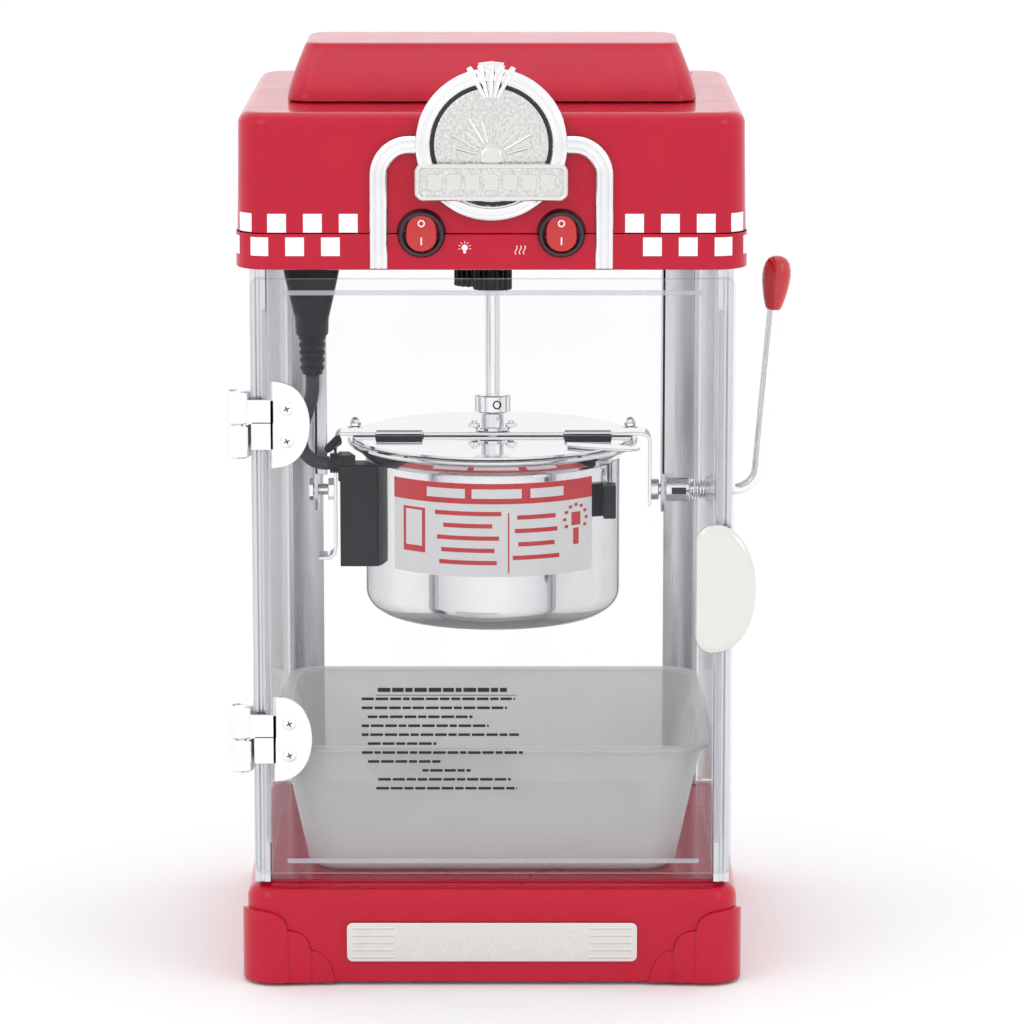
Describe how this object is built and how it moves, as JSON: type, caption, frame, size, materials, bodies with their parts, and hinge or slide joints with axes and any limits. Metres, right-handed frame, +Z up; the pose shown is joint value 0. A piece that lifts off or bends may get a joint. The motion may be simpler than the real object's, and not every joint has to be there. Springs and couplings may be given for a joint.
{
  "type": "popcorn maker",
  "caption": "Tabletop popcorn maker with a red base and canopy, clear cabinet, hinged door, tipping kettle with geared stirrer, dump lever, rocker switches and tray.",
  "frame": {"origin": "on the table under the middle of the cabinet, below the bottom plate's centre", "axes": "+X to the user's right, +Y to the back, +Z up"},
  "size_m": [0.2836, 0.2425, 0.464],
  "materials": {
    "red_gloss": "glossy moulded red plastic",
    "clear_sheet": "clear acrylic sheet, polished",
    "tray_plastic": "clear frosted moulded plastic",
    "aluminium_post": "satin anodised extrusion",
    "chrome_trim": "bright chrome plate",
    "polished_steel": "polished stainless sheet",
    "satin_steel": "satin steel",
    "black_plastic": "satin black moulded plastic",
    "red_plastic": "glossy red plastic",
    "gear_brass": "machined",
    "foot_rubber": "matt rubber",
    "lead_sleeve": "woven heat-resistant sleeve",
    "lamp_glass": "frosted lamp glass"
  },
  "bodies": {
    "cabinet": {"base_shell": "red_gloss", "bottom_plate": "satin_steel", "foot_front_left": "foot_rubber", "foot_rear_left": "foot_rubber", "foot_front_right": "foot_rubber", "foot_rear_right": "foot_rubber", "corner_pad_front_left": "red_gloss", "corner_pad_rear_left": "red_gloss", "corner_pad_front_right": "red_gloss", "corner_pad_rear_right": "red_gloss", "nameplate": "chrome_trim", "mains_inlet": "black_plastic", "post_front_left": "aluminium_post", "post_rear_left": "aluminium_post", "side_panel_left": "clear_sheet", "post_front_right": "aluminium_post", "post_rear_right": "aluminium_post", "side_panel_right": "clear_sheet", "back_panel": "clear_sheet", "canopy_skirt": "red_gloss", "canopy_shell": "red_gloss", "crown": "red_gloss", "ceiling_plate": "satin_steel", "trim_left": "chrome_trim", "trim_right": "chrome_trim", "badge_medallion": "chrome_trim", "badge_banner": "chrome_trim", "bezel_light": "black_plastic", "bezel_heat": "black_plastic", "hinge_post_leaf_upper": "chrome_trim", "hinge_post_leaf_lower": "chrome_trim", "hanger_left": "aluminium_post", "hanger_right": "aluminium_post", "gearmotor": "satin_steel", "lever_spring": "satin_steel", "lever_ferrule": "satin_steel", "lamp_bulb": "lamp_glass", "lamp_socket": "black_plastic", "heater_plug": "black_plastic", "heater_cord": "lead_sleeve"},
    "door": {"door_panel": "clear_sheet", "door_handle": "satin_steel", "hinge_door_leaf_upper": "chrome_trim", "hinge_door_leaf_lower": "chrome_trim"},
    "kettle": {"kettle_drum": "polished_steel", "kettle_pan": "polished_steel", "lid_rear": "polished_steel", "kettle_yoke": "polished_steel", "stir_bush": "polished_steel", "socket_cover": "black_plastic"},
    "lid_flap": {"lid_front": "polished_steel"},
    "stirrer": {"stir_shaft": "polished_steel", "stir_gear": "gear_brass", "stir_paddle": "polished_steel"},
    "motor_gear": {"motor_gear": "black_plastic"},
    "lever": {"lever_rod": "chrome_trim", "lever_knob": "red_plastic"},
    "rocker_light": {"rocker_light": "red_plastic"},
    "rocker_heat": {"rocker_heat": "red_plastic"},
    "tray": {"tray": "tray_plastic"}
  },
  "joints": [
    {"name": "door_swing", "type": "hinge", "parent": "cabinet", "child": "door", "pos_m": [-0.1242, -0.112, 0.2], "axis": [0, 0, -1], "range_deg": [0, 150]},
    {"name": "kettle_dump", "type": "hinge", "parent": "cabinet", "child": "kettle", "pos_m": [0, 0.014, 0.229], "axis": [1, 0, 0], "range_deg": [0, 120], "deforming": ["heater_cord"]},
    {"name": "lid_flap_lift", "type": "hinge", "parent": "kettle", "child": "lid_flap", "pos_m": [0, 0.003, 0.2601], "axis": [-1, 0, 0], "range_deg": [0, 70]},
    {"name": "stirrer_spin", "type": "hinge", "parent": "kettle", "child": "stirrer", "pos_m": [0, 0.014, 0.3], "axis": [0, 0, 1], "continuous": true},
    {"name": "motor_gear_spin", "type": "hinge", "parent": "cabinet", "child": "motor_gear", "pos_m": [-0.01, 0.0292, 0.34], "axis": [0, 0, 1], "continuous": true},
    {"name": "lever_pull", "type": "slide", "parent": "kettle", "child": "lever", "axis": [1, 0, 0], "range_m": [0, 0.005], "stiffness_N_per_m": 600, "springref_m": -0.002, "deforming": ["lever_spring"]},
    {"name": "rocker_light_tilt", "type": "hinge", "parent": "cabinet", "child": "rocker_light", "pos_m": [-0.034, -0.116, 0.3786], "axis": [1, 0, 0], "range_deg": [0, 20]},
    {"name": "rocker_heat_tilt", "type": "hinge", "parent": "cabinet", "child": "rocker_heat", "pos_m": [0.034, -0.116, 0.3786], "axis": [1, 0, 0], "range_deg": [0, 20]},
    {"name": "tray_lift", "type": "slide", "parent": "cabinet", "child": "tray", "axis": [0, 0, 1], "range_m": [0, 0.018]}
  ],
  "couplings": [
    {"joint": "motor_gear_spin", "follows": "stirrer_spin", "ratio": -1}
  ]
}
